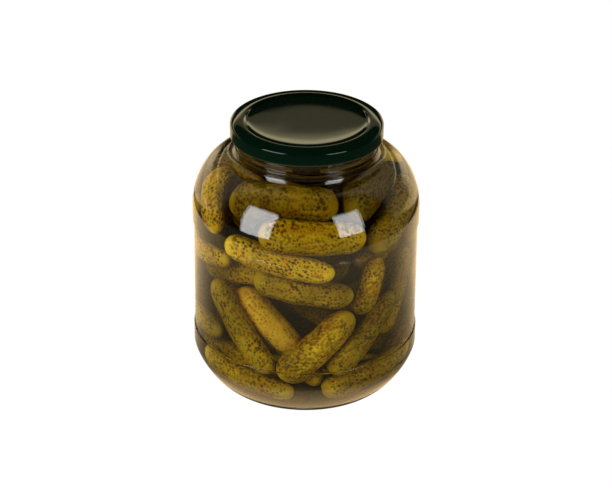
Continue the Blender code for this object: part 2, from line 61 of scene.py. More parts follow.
def addCamera():
    camera = bpy.data.objects.new("camera", bpy.data.cameras.new("camera"))
    bpy.context.scene.collection.objects.link(camera)
    back = Vector((0, -math.cos(shot["elevation"]), math.sin(shot["elevation"])))
    tilt = Matrix.Rotation(math.pi / 2 - shot["elevation"], 4, "X")
    place = Matrix.Translation(Vector((0, 0, shot["aimHeight"])) + back * shot["distance"])
    camera.matrix_world = place @ tilt @ Matrix.Rotation(shot["roll"], 4, "Z")
    width, height = shot["frame"]
    camera.data.sensor_width = shot["sensor"]
    camera.data.lens = shot["focalPixels"] * shot["sensor"] / width
    camera.data.shift_x = (width / 2 - shot["aimPixel"][0]) / width
    camera.data.shift_y = (shot["aimPixel"][1] - height / 2) / width
    bpy.context.scene.camera = camera


addCamera()
bpy.context.scene.view_settings.view_transform = "Standard"
print("camera placed")


# Shared node helpers
def newNode(tree, kind, **settings):
    node = tree.nodes.new(kind)
    for name, value in settings.items():
        setattr(node, name, value)
    return node


def feed(tree, node, socket, value):  # value is an output socket or a plain value
    target = node.inputs[socket]
    if isinstance(value, bpy.types.NodeSocket):
        tree.links.new(value, target)
    elif isinstance(target, bpy.types.NodeSocketColor) and len(value) == 3:
        target.default_value = (*value, 1)
    else:
        target.default_value = value


def mathNode(tree, operation, first, second=0.5, clamp=False):
    node = newNode(tree, "ShaderNodeMath", operation=operation, use_clamp=clamp)
    feed(tree, node, 0, first)
    feed(tree, node, 1, second)
    return node.outputs[0]


def rangeNode(tree, value, low, high, toLow=0.0, toHigh=1.0, smooth=True):
    node = newNode(tree, "ShaderNodeMapRange", interpolation_type="SMOOTHSTEP" if smooth else "LINEAR")
    sockets = {"Value": value, "From Min": low, "From Max": high, "To Min": toLow, "To Max": toHigh}
    for socket, given in sockets.items():
        feed(tree, node, socket, given)
    return node.outputs["Result"]


def mixColour(tree, share, first, second, blend="MIX"):
    node = newNode(tree, "ShaderNodeMix", data_type="RGBA", blend_type=blend)
    feed(tree, node, 0, share)
    feed(tree, node, 6, first)
    feed(tree, node, 7, second)
    return node.outputs[2]


def noiseNode(tree, place, scale, detail=2.0, roughness=0.5):
    node = newNode(tree, "ShaderNodeTexNoise")
    for socket, given in (("Vector", place), ("Scale", scale), ("Detail", detail), ("Roughness", roughness)):
        feed(tree, node, socket, given)
    return node.outputs["Fac"]


def cloudNode(tree, place, scale, detail, roughness, *levels):  # noise, stretched between two levels
    return rangeNode(tree, noiseNode(tree, place, scale, detail, roughness), *levels)


def vectorNode(tree, operation, *values, **named):  # values go to the sockets in turn
    node = newNode(tree, "ShaderNodeVectorMath", operation=operation)
    for socket, value in [*enumerate(values), *named.items()]:
        feed(tree, node, socket, value)
    single = operation in ("LENGTH", "DISTANCE", "DOT_PRODUCT")  # these give a number
    return node.outputs["Value" if single else "Vector"]


def axisParts(tree, vector):  # outputs X, Y and Z
    split = newNode(tree, "ShaderNodeSeparateXYZ")
    feed(tree, split, 0, vector)
    return split.outputs


def newGroup(name, inputs, outputs):
    group = bpy.data.node_groups.new(name, "ShaderNodeTree")
    for socket, kind in inputs:
        group.interface.new_socket(socket, in_out="INPUT", socket_type=kind)
    for socket, kind in outputs:
        group.interface.new_socket(socket, in_out="OUTPUT", socket_type=kind)
    return group, group.nodes.new("NodeGroupInput"), group.nodes.new("NodeGroupOutput")


def newMaterial(name, **values):  # a Principled material, its sockets set by name
    material = bpy.data.materials.new(name)
    material.use_nodes = True
    shader = material.node_tree.nodes["Principled BSDF"]
    for socket, value in values.items():
        feed(material.node_tree, shader, socket.replace("_", " "), value)
    return material, material.node_tree, shader


def objectPlace(tree):
    return newNode(tree, "ShaderNodeTexCoord").outputs["Object"]


def bumpNode(tree, height, distance, strength=1.0):
    node = newNode(tree, "ShaderNodeBump")
    for socket, given in (("Height", height), ("Distance", distance), ("Strength", strength)):
        feed(tree, node, socket, given)
    return node.outputs["Normal"]


def clearMix(tree, shader):  # lets lamp light and light bounced off the gherkins straight through
    path = newNode(tree, "ShaderNodeLightPath")
    clear = newNode(tree, "ShaderNodeBsdfTransparent")
    held = shader.outputs[0]
    for ray in ("Is Diffuse Ray", "Is Shadow Ray"):
        mix = newNode(tree, "ShaderNodeMixShader")
        feed(tree, mix, 0, path.outputs[ray])
        feed(tree, mix, 1, held)
        feed(tree, mix, 2, clear.outputs[0])
        held = mix.outputs[0]
    feed(tree, tree.nodes["Material Output"], "Surface", held)


# Shared mesh helpers
def quarterRound(start, end, points, fullness=1.0, fromFlat=True):  # (radius, height) places
    places = []
    for step in range(points + 1):
        turn = math.pi / 2 * step / points
        rising, running = 1 - math.cos(turn) ** fullness, math.sin(turn) ** fullness
        across, up = (running, rising) if fromFlat else (rising, running)
        places.append((start[0] + (end[0] - start[0]) * across, start[1] + (end[1] - start[1]) * up))
    return places


def softStep(start, end, points, lead=0.0):  # an S-curve that leaves and arrives upright
    places = [(start[0], start[1] - lead)] if lead else []
    for step in range(points + 1):
        share = step / points
        eased = share**3 * (10 - 15 * share + 6 * share * share)
        places.append((start[0] + (end[0] - start[0]) * eased, start[1] + (end[1] - start[1]) * share))
    return places + ([(end[0], end[1] + lead)] if lead else [])


def finishMesh(name, form, smoothBelow=40):
    bmesh.ops.recalc_face_normals(form, faces=form.faces)
    mesh = bpy.data.meshes.new(name)
    form.to_mesh(mesh)
    form.free()
    mesh.shade_smooth()
    mesh.set_sharp_from_angle(angle=math.radians(smoothBelow))
    piece = bpy.data.objects.new(name, mesh)
    bpy.context.scene.collection.objects.link(piece)
    return piece


def turnProfile(name, profile, turns, loop=False, smoothBelow=40):
    form = bmesh.new()
    rings = []
    for radius, height in profile:
        if radius == 0:
            rings.append([form.verts.new((0, 0, height))])
            continue
        angles = [2 * math.pi * turn / turns for turn in range(turns)]
        rings.append([form.verts.new((radius * math.cos(a), radius * math.sin(a), height)) for a in angles])
    pairs = list(zip(rings, rings[1:]))
    if loop:
        pairs.append((rings[-1], rings[0]))
    for low, high in pairs:
        for here in range(turns):
            there = (here + 1) % turns
            if len(low) == 1:
                form.faces.new((low[0], high[here], high[there]))
            elif len(high) == 1:
                form.faces.new((low[here], low[there], high[0]))
            else:
                form.faces.new((low[here], low[there], high[there], high[here]))
    return finishMesh(name, form, smoothBelow)


def sweepBlock(name, sectionAt, start, arc, stations):  # closed body swept round +Z
    form = bmesh.new()
    rings = []
    for station in range(stations + 1):
        angle = start + arc * station / stations
        rings.append([
            form.verts.new((radius * math.cos(angle), radius * math.sin(angle), height))
            for radius, height in sectionAt(station / stations)
        ])
    corners = len(rings[0])
    for low, high in zip(rings, rings[1:]):
        for here in range(corners):
            there = (here + 1) % corners
            form.faces.new((low[here], low[there], high[there], high[here]))
    form.faces.new(rings[0][::-1])
    form.faces.new(rings[-1])
    return finishMesh(name, form)


def makePlain(piece):  # the evaluated piece becomes a plain mesh, its modifiers gone
    depsgraph = bpy.context.evaluated_depsgraph_get()
    mesh = bpy.data.meshes.new_from_object(piece.evaluated_get(depsgraph))
    piece.modifiers.clear()
    piece.data = mesh


def joinTo(piece, helper):  # fuses a helper body to a piece
    fuse = piece.modifiers.new("fuse", "BOOLEAN")
    fuse.operation, fuse.solver, fuse.object = "UNION", "EXACT", helper
    makePlain(piece)
    bpy.data.objects.remove(helper)


def setMaterial(piece, material):
    piece.data.materials.clear()
    piece.data.materials.append(material)


# Geometry nodes: one shape, repeated round the jar's axis
def ringTree():
    tree = bpy.data.node_groups.new("repeatRoundAxis", "GeometryNodeTree")
    tree.interface.new_socket("Geometry", in_out="INPUT", socket_type="NodeSocketGeometry")
    tree.interface.new_socket("Count", in_out="INPUT", socket_type="NodeSocketInt")
    tree.interface.new_socket("Finish", in_out="INPUT", socket_type="NodeSocketMaterial")
    tree.interface.new_socket("Geometry", in_out="OUTPUT", socket_type="NodeSocketGeometry")
    start, end = tree.nodes.new("NodeGroupInput"), tree.nodes.new("NodeGroupOutput")
    points = newNode(tree, "GeometryNodePoints")
    feed(tree, points, "Count", start.outputs["Count"])
    step = mathNode(tree, "DIVIDE", 2 * math.pi, start.outputs["Count"])
    turn = newNode(tree, "ShaderNodeCombineXYZ")
    index = newNode(tree, "GeometryNodeInputIndex").outputs[0]
    feed(tree, turn, "Z", mathNode(tree, "MULTIPLY", index, step))
    place = newNode(tree, "GeometryNodeInstanceOnPoints")
    feed(tree, place, "Points", points.outputs[0])
    feed(tree, place, "Instance", start.outputs["Geometry"])
    feed(tree, place, "Rotation", turn.outputs[0])
    real = newNode(tree, "GeometryNodeRealizeInstances")
    feed(tree, real, "Geometry", place.outputs[0])
    finish = newNode(tree, "GeometryNodeSetMaterial")
    feed(tree, finish, "Geometry", real.outputs[0])
    feed(tree, finish, "Material", start.outputs["Finish"])
    feed(tree, end, "Geometry", finish.outputs[0])
    return tree


def runTree(piece, tree, **values):  # sets each input by its socket's identifier, then makes the result plain
    modifier = piece.modifiers.new(tree.name, "NODES")
    modifier.node_group = tree
    for item in tree.interface.items_tree:
        if item.in_out == "INPUT" and item.name in values:
            modifier[item.identifier] = values[item.name]
    makePlain(piece)


repeatRoundAxis = ringTree()


# Glass jar
glass = {
    "bodyRadius": 77.0 * mm, "wall": 3.2 * mm, "bearingRadius": 59.4 * mm, "bearingWidth": 3.0 * mm,
    "puntRise": 2.4 * mm, "puntSlope": 5.0 * mm, "baseThickness": 6.4 * mm, "floorCrown": 1.2 * mm,
    "heelHeight": 27.2 * mm, "heelProud": 0.75 * mm, "heelBand": 12.7 * mm, "heelFullness": 1.498,
    "panelHeight": 80.4 * mm, "bandStep": 0.9 * mm,
    "shoulderProud": 0.9 * mm, "shoulderBand": 11.2 * mm, "shoulderRise": 34.5 * mm,
    "shoulderFullness": 1.123,
    "neckRadius": 47.9 * mm, "neckWall": 3.2 * mm, "neckFillet": 7.8 * mm, "neckFilletRise": 4.6 * mm,
    "beadAboveFillet": 2.4 * mm, "beadProud": 1.0 * mm, "beadHeight": 2.4 * mm,
    "rimAboveBead": 15.6 * mm, "rimRounding": 1.4 * mm,
    "threads": 6, "threadArc": 0.66,  # share of the way to the next thread
    "threadProud": 2.2 * mm, "threadThickness": 1.7 * mm, "threadClimb": 1.8 * mm, "threadBite": 0.9 * mm,
    "threadTip": 0.02, "threadFade": 5,  # how blunt and how fast a thread's ends fade
    "threadNose": ((0.25, 0.0), (0.0, 0.15), (0.0, 0.4), (0.35, 0.75)),  # shares of its thickness: back, up
    "turns": 160, "curve": 22, "rounding": 8, "step": 10, "threadStations": 20,  # how finely it is divided
    "colour": (0.985, 0.99, 0.975), "ior": 1.52,
    "wave": 22.0, "waveDepth": 0.10 * mm, "fineWave": 90.0, "fineShare": 0.03,  # the blown wall's ripple
    "scuffWidth": 0.7 * mm, "scuffRough": (0.11, 0.15),  # heel step, shoulder step
}

heelTop = glass["heelHeight"] + glass["heelBand"]
panelTop = heelTop + glass["panelHeight"]
shoulderStart = panelTop + glass["shoulderBand"]
shoulderTop = shoulderStart + glass["shoulderRise"]
filletTop = shoulderTop + glass["neckFilletRise"]
beadBottom = filletTop + glass["beadAboveFillet"]
rimHeight = beadBottom + glass["beadHeight"] + glass["rimAboveBead"]
boreRadius = glass["neckRadius"] - glass["neckWall"]
innerRadius = glass["bodyRadius"] - glass["wall"]
floorRadius = glass["bearingRadius"] - glass["bearingWidth"]
pitch = 2 * math.pi / glass["threads"]


def outerGlass():
    body, curve, rounding = glass["bodyRadius"], glass["curve"], glass["rounding"]
    heel, shoulder = body + glass["heelProud"], body + glass["shoulderProud"]
    neck, bead = glass["neckRadius"], glass["neckRadius"] + glass["beadProud"]
    punt, bearing = glass["puntRise"], glass["bearingRadius"]
    profile = [(0, punt), (floorRadius - glass["puntSlope"], punt), (floorRadius, 0)]
    profile += quarterRound((bearing, 0), (heel, glass["heelHeight"]), curve, glass["heelFullness"])
    step, lead = glass["bandStep"], glass["bandStep"] / 2
    profile += softStep((heel, heelTop - step), (body, heelTop), glass["step"], lead)
    profile += softStep((body, panelTop), (shoulder, panelTop + step), glass["step"], lead)
    neckFoot = (neck + glass["neckFillet"], shoulderTop)
    profile += quarterRound((shoulder, shoulderStart), neckFoot, curve, glass["shoulderFullness"], False)
    profile += quarterRound(neckFoot, (neck, filletTop), rounding)[1:]
    middle = beadBottom + glass["beadHeight"] / 2
    profile += softStep((neck, beadBottom), (bead, middle), glass["step"])
    profile += softStep((bead, middle), (neck, beadBottom + glass["beadHeight"]), glass["step"])[1:]
    rounded = glass["rimRounding"]
    profile += quarterRound((neck, rimHeight - rounded), (neck - rounded, rimHeight), rounding, 1.0, False)
    return profile


def innerGlass():
    neckFoot = (boreRadius + glass["neckFillet"], shoulderTop - glass["wall"])
    rounded, curve, rounding = glass["rimRounding"], glass["curve"], glass["rounding"]
    profile = quarterRound(
        (boreRadius, rimHeight - rounded), (boreRadius + rounded, rimHeight), rounding, 1.0, False
    )[::-1]
    profile += quarterRound(neckFoot, (boreRadius, filletTop), rounding)[::-1]
    profile += quarterRound(
        (innerRadius, shoulderStart), neckFoot, curve, glass["shoulderFullness"], False
    )[-2::-1]
    heel = (innerRadius, glass["heelHeight"])
    profile += quarterRound((floorRadius, glass["baseThickness"]), heel, curve, glass["heelFullness"])[::-1]
    profile.append((0, glass["baseThickness"] + glass["floorCrown"]))
    return profile


# Lid and sealing compound, whose sizes the threads follow
lid = {
    "sheet": 0.5 * mm, "height": 11.0 * mm, "curlDepth": 0.9 * mm, "curlHeight": 1.8 * mm,
    "panelDrop": 1.2 * mm, "panelDish": 0.65 * mm, "panelLip": 0.3 * mm, "lipPower": 24,
    "dishShares": (0.6, 0.4),  # how much of the dish is an even bowl, and how much turns up at its edge
    "crownFoot": 40.7 * mm, "crownTop": 43.0 * mm, "crownRise": 0.25 * mm, "crownDrop": 2.85 * mm,
    "crownFullness": 2.25, "innerCorner": 3.2 * mm,
    "lugWidth": 10.5 * mm, "lugThickness": 1.3 * mm, "lugLift": 0.3 * mm, "lugNeckGap": 0.5 * mm,
    "seatGap": 0.3 * mm, "runningGap": 0.4 * mm,
    "turns": 192, "dishRings": 40, "stepRings": 16, "crownRings": 26, "cornerRings": 8, "curlRings": 12,
    "lugStations": 8,
    "enamel": (0.0010, 0.024, 0.0095), "deep": (0.0006, 0.014, 0.0058), "ior": 1.5,
    "roughness": 0.035, "coat": 0.3, "coatRoughness": 0.03,
    "orangePeel": 900.0, "peelDepth": 0.002 * mm, "wave": 22.0, "waveDepth": 0.22 * mm,
    "cloud": (60.0, 4.0, 0.6), "scuffFrom": (0.58, 0.75), "scuffRough": 0.05,
}
seal = {
    "width": 3.6 * mm, "thickness": 0.8 * mm, "chamfer": 0.2 * mm, "turns": 160, "round": 5,
    "colour": (0.70, 0.68, 0.60), "dark": (0.58, 0.56, 0.50), "roughness": 0.5,
    "grain": (300.0, 3.0), "grainDepth": 0.03 * mm,
}
lidTop = rimHeight + 2 * lid["seatGap"] + seal["thickness"] + lid["sheet"]
lidBottom = lidTop - lid["height"]
threadRadius = glass["neckRadius"] + glass["threadProud"]
curlRadius = threadRadius + lid["runningGap"]
skirtInside = curlRadius + lid["curlDepth"]
lidRadius = skirtInside + lid["sheet"]


def threadSection(share):  # rounded nose, fading into the neck at both ends
    under = lidBottom + lid["lugLift"] + lid["lugThickness"] + lid["seatGap"] + glass["threadClimb"] * share
    within = min(max(share, glass["threadTip"]), 1 - glass["threadTip"])
    fade = min(1.0, math.sin(math.pi * within) * glass["threadFade"]) ** 0.5
    foot = glass["neckRadius"] - glass["threadBite"]
    crest = foot + (threadRadius - foot) * fade
    thick = glass["threadThickness"]
    nose = [(crest - thick * back * fade, under + thick * up) for back, up in glass["threadNose"]]
    return [(foot, under), *nose, (foot, under + thick)]


def glassMaterial():
    material, tree, shader = newMaterial(
        "jar glass", Base_Color=glass["colour"], IOR=glass["ior"], Transmission_Weight=1.0
    )
    place = objectPlace(tree)
    slow = noiseNode(tree, place, glass["wave"], 1.0)
    quick = mathNode(tree, "MULTIPLY", noiseNode(tree, place, glass["fineWave"], 1.0), glass["fineShare"])
    height, width = axisParts(tree, place)["Z"], glass["scuffWidth"]
    scuff, calm = 0.0, 1.0  # rough at the rings, with no waves there
    rubbed = heelTop - glass["bandStep"] / 2, panelTop + glass["bandStep"] / 2  # where full jars rub together
    for ring, rough in zip(rubbed, glass["scuffRough"]):
        off = mathNode(tree, "ABSOLUTE", mathNode(tree, "SUBTRACT", height, ring))
        scuff = mathNode(tree, "ADD", scuff, rangeNode(tree, off, width / 2, width, rough, 0.0))
        calm = mathNode(tree, "MULTIPLY", calm, rangeNode(tree, off, width, width * 4))
    feed(tree, shader, "Roughness", scuff)
    waves = bumpNode(tree, mathNode(tree, "ADD", slow, quick), glass["waveDepth"], calm)
    feed(tree, shader, "Normal", waves)
    clearMix(tree, shader)
    return material


def buildJar():
    finish = glassMaterial()
    jar = turnProfile("glassJar", outerGlass() + innerGlass(), glass["turns"])
    arc = pitch * glass["threadArc"]
    threads = sweepBlock("threads", threadSection, -arc / 2, arc, glass["threadStations"])
    runTree(threads, repeatRoundAxis, Count=glass["threads"], Finish=finish)
    joinTo(jar, threads)
    setMaterial(jar, finish)
    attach(jar, "jar")
    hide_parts("glass_jar")


buildJar()
print("jar turned, six threads fused")


# Lid
def lidProfile():
    sheet, dish, lip = lid["sheet"], lid["panelDish"], lid["panelLip"]
    foot, top, crown = lid["crownFoot"], lid["crownTop"], lidTop + lid["crownRise"]
    panel, (bowl, edge) = lidTop - lid["panelDrop"], lid["dishShares"]
    curve = []
    for ring in range(lid["dishRings"] + 1):
        share = ring / lid["dishRings"]
        sunk = dish * (1 - bowl * share**2 - edge * share**6)
        curve.append((foot * share, panel - sunk - lip * (1 - share ** lid["lipPower"])))
    for ring in range(1, lid["stepRings"] + 1):
        share = ring / lid["stepRings"]
        eased = share * share * (3 - 2 * share)
        curve.append((foot + (top - foot) * share, panel + (crown - panel) * eased))
    back = [(radius, height - sheet) for radius, height in curve[::-1]]
    full, drop = lid["crownFullness"], lid["crownDrop"]
    for ring in range(1, lid["crownRings"] + 1):  # the rim's rounded back, from the step out to the skirt
        turn = math.pi / 2 * ring / lid["crownRings"]
        along, down = math.sin(turn) ** (2 / full), 1 - max(0.0, math.cos(turn)) ** (2 / full)
        curve.append((top + (lidRadius - top) * along, crown - drop * down))
    inner, under = lid["innerCorner"], lidTop - sheet
    start, end = (skirtInside, lidTop - inner - sheet), (skirtInside - inner, under)
    inside = quarterRound(start, end, lid["cornerRings"], 1.0, False)
    curl = []
    middle, half, rise = (lidRadius + curlRadius) / 2, (lidRadius - curlRadius) / 2, lid["curlHeight"]
    for ring in range(lid["curlRings"] + 1):
        turn = math.pi * ring / lid["curlRings"]
        curl.append((middle + half * math.cos(turn), lidBottom + rise / 2 * (1 - math.sin(turn))))
    curl.append((curlRadius, lidBottom + rise))
    curl.append((skirtInside, lidBottom + rise + sheet))
    return curve + curl + inside + back


def lugSection(share):
    low, thick = lidBottom + lid["lugLift"], lid["lugThickness"]
    reach, root = glass["neckRadius"] + lid["lugNeckGap"], curlRadius + lid["sheet"]
    return [
        (reach + thick / 3, low), (root, low), (root, low + thick), (reach + thick / 3, low + thick),
        (reach, low + thick * 2 / 3), (reach, low + thick / 3),
    ]


def enamelMaterial():
    material, tree, shader = newMaterial(
        "green enamel", Coat_Weight=lid["coat"], Coat_Roughness=lid["coatRoughness"], IOR=lid["ior"]
    )
    place = objectPlace(tree)
    cloud = noiseNode(tree, place, *lid["cloud"])
    scuff = mathNode(tree, "MULTIPLY", rangeNode(tree, cloud, *lid["scuffFrom"]), lid["scuffRough"])
    feed(tree, shader, "Base Color", mixColour(tree, cloud, lid["deep"], lid["enamel"]))
    feed(tree, shader, "Roughness", mathNode(tree, "ADD", lid["roughness"], scuff))
    peel = bumpNode(tree, noiseNode(tree, place, lid["orangePeel"], 1.0), lid["peelDepth"])
    wave = bumpNode(tree, noiseNode(tree, place, lid["wave"], 1.0), lid["waveDepth"])
    feed(tree, wave.node, "Normal", peel)
    feed(tree, shader, "Normal", wave)
    return material


def buildLid():
    finish = enamelMaterial()
    cap = turnProfile("twistLid", lidProfile(), lid["turns"], smoothBelow=60)
    arc = lid["lugWidth"] / glass["neckRadius"]
    lugs = sweepBlock("lugs", lugSection, -pitch * glass["threadArc"] / 2, arc, lid["lugStations"])
    runTree(lugs, repeatRoundAxis, Count=glass["threads"], Finish=finish)
    joinTo(cap, lugs)
    setMaterial(cap, finish)
    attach(cap, "lid")
    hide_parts("lid")


buildLid()
print("lid pressed, six lugs fused")


# Sealing compound
def compoundMaterial():
    material, tree, shader = newMaterial("sealing compound", Roughness=seal["roughness"])
    grain = noiseNode(tree, objectPlace(tree), *seal["grain"])
    feed(tree, shader, "Base Color", mixColour(tree, grain, seal["colour"], seal["dark"]))
    feed(tree, shader, "Normal", bumpNode(tree, grain, seal["grainDepth"]))
    return material


def buildSeal():
    middle, low = glass["neckRadius"] - glass["neckWall"] / 2, rimHeight + lid["seatGap"]
    high, bevel = low + seal["thickness"], seal["chamfer"]
    inside, outside = middle - seal["width"] / 2, middle + seal["width"] / 2
    profile = []
    for corner, towards in (
        ((inside, low), (1, 1)), ((outside, low), (-1, 1)),
        ((outside, high), (-1, -1)), ((inside, high), (1, -1)),
    ):
        centre = (corner[0] + towards[0] * bevel, corner[1] + towards[1] * bevel)
        start = math.atan2(-towards[1], -towards[0]) - math.pi / 4
        for step in range(seal["round"] + 1):
            turn = start + math.pi / 2 * step / seal["round"]
            profile.append((centre[0] + bevel * math.cos(turn), centre[1] + bevel * math.sin(turn)))
    ring = turnProfile("sealRing", profile, seal["turns"], loop=True, smoothBelow=60)
    setMaterial(ring, compoundMaterial())
    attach(ring, "seal")
    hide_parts("sealing_compound")


buildSeal()
print("sealing compound laid")


# Brine, which fills the jar round the gherkins
brine = {
    "headspace": 6.7 * mm, "meniscus": 1.2 * mm, "meniscusSpread": 3, "intoWall": 0.1 * mm,
    "turns": 160, "topRings": 8, "ior": 1.335, "soak": (0.78, 0.73, 0.10), "density": 80.0,
}
brineLevel = lidTop - lid["sheet"] - lid["panelDrop"] - brine["headspace"]


def brineMaterial():
    material, tree, shader = newMaterial(
        "pickling brine", Base_Color=(1.0, 1.0, 1.0), Roughness=0.0, IOR=brine["ior"], Transmission_Weight=1.0
    )
    clearMix(tree, shader)
    soak = newNode(tree, "ShaderNodeVolumeAbsorption")
    feed(tree, soak, "Color", brine["soak"])
    feed(tree, soak, "Density", brine["density"])
    feed(tree, tree.nodes["Material Output"], "Volume", soak.outputs[0])
    return material


def buildBrine():
    into, rise = brine["intoWall"], brine["meniscus"]
    wall = [(radius + into, height) for radius, height in innerGlass() if 0 < radius and height < brineLevel]
    floor = glass["baseThickness"] + glass["floorCrown"] - into
    wall = [(radius, max(height, floor - glass["floorCrown"])) for radius, height in wall]
    top = [(0, brineLevel - rise)]
    for ring in range(1, brine["topRings"] + 1):
        share = ring / brine["topRings"]
        inward = rise * brine["meniscusSpread"] * (1 - share)
        top.append((boreRadius - inward, brineLevel - rise * (1 - share * share)))
    profile = top + [(boreRadius + into, brineLevel)] + wall + [(0, floor)]
    body = turnProfile("brineBody", profile, brine["turns"], smoothBelow=50)
    setMaterial(body, brineMaterial())
    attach(body, "jar")
    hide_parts("brine")


buildBrine()
print("brine poured")


# Gherkins
gherkin = {
    "cap": 1.2,  # length of a rounded end against the radius
    "taper": 0.07, "bend": 0.045,
    "straightShare": 0.8, "roundPower": 3.6,  # how the plain solid was rounded, to read its girth
    "swell": 1.06,  # against the plain solid, which is faceted
    "slimming": 0.07,  # from the middle to the ends
    "rings": 130, "sides": 96,
    "lump": 0.035, "rib": 0.014, "ribs": 9,
    "wallGap": 0.10 * mm, "brineCover": 4.0 * mm,
    "warts": {"Spacing": 2.0 * mm, "Reach": 2.0 * mm, "Height": 0.48 * mm},
    "wartSizes": (0.40, 1.20), "wartDensity": 400000.0, "bareEnds": (0.42, 0.48),
    "looks": {
        "light": {"skin": (0.38, 0.210, 0.001), "pale": (0.95, 0.66, 0.02), "fleck": (0.105, 0.052, 0.0008)},
        "olive": {"skin": (0.25, 0.150, 0.001), "pale": (0.66, 0.46, 0.012), "fleck": (0.08, 0.040, 0.0008)},
        "dark": {"skin": (0.14, 0.086, 0.001), "pale": (0.40, 0.27, 0.005), "fleck": (0.050, 0.028, 0.0008)},
    },
    "clouds": {  # scale, detail, roughness, the noise levels from and to, and what these give if not 0 and 1
        "mottle": (70.0, 4.0, 0.6, 0.35, 0.7), "streak": (1.0, 3.0, 0.6, 0.42, 0.72),
        "grain": (900.0, 2.0, 0.6, 0.35, 0.65), "rust": (140.0, 3.0, 0.6, 0.45, 0.68),
        "faint": (80.0, 2.0, 0.5, 0.35, 0.65, 0.60, 1.0), "redder": (110.0, 2.0, 0.5, 0.40, 0.62),
        "drift": (22.0, 1.0, 0.5, 0.35, 0.65, 0.74, 1.22),
    },
    "paler": {"mottle": 0.34, "streak": 0.34, "ends": 0.40, "grain": 0.30}, "toneShare": 0.4,
    "paleEnds": (0.38, 0.5), "bloomEnds": (0.42, 0.5), "bloom": (0.25, 0.7),
    "rust": (0.92, 0.62, 0.3), "rustShare": 0.8, "red": (1.45, 1.05, 1.0),
    "uneven": ((420.0, 4.0, 0.75, 2.2), (45.0, 2.0, 0.5, 0.9)),  # scale, detail, roughness, amount
    "fleckEdge": (0.14, 0.70),
    "bleachFrom": 1.5, "bleach": 0.55, "bleached": (1.0, 0.73, 0.62), "fleckKept": 0.6,
    "streakScale": (2.5, 14.0, 1.0), "roughness": (0.45, 0.62), "shine": 0.06,
    "pores": (500.0, 3.0, 0.6), "poreDepth": 0.25 * mm, "poreStrength": 0.6,
    "tones": {  # lighter or darker than their skins, where the picture shows them so: partly each gherkin's own colour, partly painted light and shade
        "skinGherkin01": 0.48, "skinGherkin02": 0.96, "skinGherkin03": 1.35, "skinGherkin05": 0.60,
        "skinGherkin06": 1.5, "skinGherkin07": 1.05, "skinGherkin08": 1.2, "skinGherkin10": 0.93,
        "skinGherkin11": 1.5, "skinGherkin12": 2.8, "skinGherkin13": 0.85, "skinGherkin14": 1.15,
        "skinGherkin15": 1.45, "skinGherkin16": 1.0, "skinGherkin17": 1.0, "skinGherkin19": 1.3,
        "skinGherkin20": 1.3, "skinGherkin35": 0.5,
    },
}


def fromMiddle(tree, along):  # 0 half way along a gherkin, 0.5 at its ends
    return mathNode(tree, "ABSOLUTE", mathNode(tree, "SUBTRACT", along, 0.5))


def wartTree():
    tree = bpy.data.node_groups.new("wartySkin", "GeometryNodeTree")
    for name, kind in (
        ("Geometry", "Geometry"), ("Spacing", "Float"), ("Reach", "Float"), ("Height", "Float"),
        ("Seed", "Int"), ("Finish", "Material"),
    ):
        tree.interface.new_socket(name, in_out="INPUT", socket_type="NodeSocket" + kind)
    tree.interface.new_socket("Geometry", in_out="OUTPUT", socket_type="NodeSocketGeometry")
    start, end = tree.nodes.new("NodeGroupInput"), tree.nodes.new("NodeGroupOutput")
    spots = newNode(tree, "GeometryNodeDistributePointsOnFaces", distribute_method="POISSON")
    feed(tree, spots, "Mesh", start.outputs["Geometry"])
    feed(tree, spots, "Distance Min", start.outputs["Spacing"])
    feed(tree, spots, "Density Max", gherkin["wartDensity"])
    feed(tree, spots, "Seed", start.outputs["Seed"])
    size = newNode(tree, "FunctionNodeRandomValue", data_type="FLOAT")
    size.inputs[2].default_value, size.inputs[3].default_value = gherkin["wartSizes"]
    feed(tree, size, "Seed", start.outputs["Seed"])
    here = newNode(tree, "GeometryNodeInputPosition").outputs[0]
    nearest = newNode(tree, "GeometryNodeSampleNearest", domain="POINT")
    feed(tree, nearest, "Geometry", spots.outputs["Points"])
    feed(tree, nearest, "Sample Position", here)
    picked = []
    for kind, value in (("FLOAT_VECTOR", here), ("FLOAT", size.outputs[1])):
        pick = newNode(tree, "GeometryNodeSampleIndex", data_type=kind, domain="POINT")
        feed(tree, pick, "Geometry", spots.outputs["Points"])
        feed(tree, pick, "Value", value)
        feed(tree, pick, "Index", nearest.outputs[0])
        picked.append(pick.outputs[0])
    apart = vectorNode(tree, "DISTANCE", here, picked[0])
    reach = mathNode(tree, "MULTIPLY", start.outputs["Reach"], picked[1])
    wart = rangeNode(tree, apart, 0.0, reach, 1.0, 0.0)
    along = newNode(tree, "GeometryNodeInputNamedAttribute", data_type="FLOAT")
    along.inputs["Name"].default_value = "along"
    bare = rangeNode(tree, fromMiddle(tree, along.outputs[0]), *gherkin["bareEnds"], 1.0, 0.0)
    wart = mathNode(tree, "MULTIPLY", wart, bare)
    keep = newNode(tree, "GeometryNodeStoreNamedAttribute", data_type="FLOAT", domain="POINT")
    feed(tree, keep, "Geometry", start.outputs["Geometry"])
    keep.inputs["Name"].default_value = "wart"
    feed(tree, keep, "Value", wart)
    raised = mathNode(tree, "MULTIPLY", wart, start.outputs["Height"])
    normal = newNode(tree, "GeometryNodeInputNormal").outputs[0]
    move = newNode(tree, "GeometryNodeSetPosition")
    feed(tree, move, "Geometry", keep.outputs[0])
    feed(tree, move, "Offset", vectorNode(tree, "SCALE", normal, Scale=raised))
    real = newNode(tree, "GeometryNodeRealizeInstances")
    feed(tree, real, "Geometry", move.outputs[0])
    finish = newNode(tree, "GeometryNodeSetMaterial")
    feed(tree, finish, "Geometry", real.outputs[0])
    feed(tree, finish, "Material", start.outputs["Finish"])
    feed(tree, end, "Geometry", finish.outputs[0])
    return tree


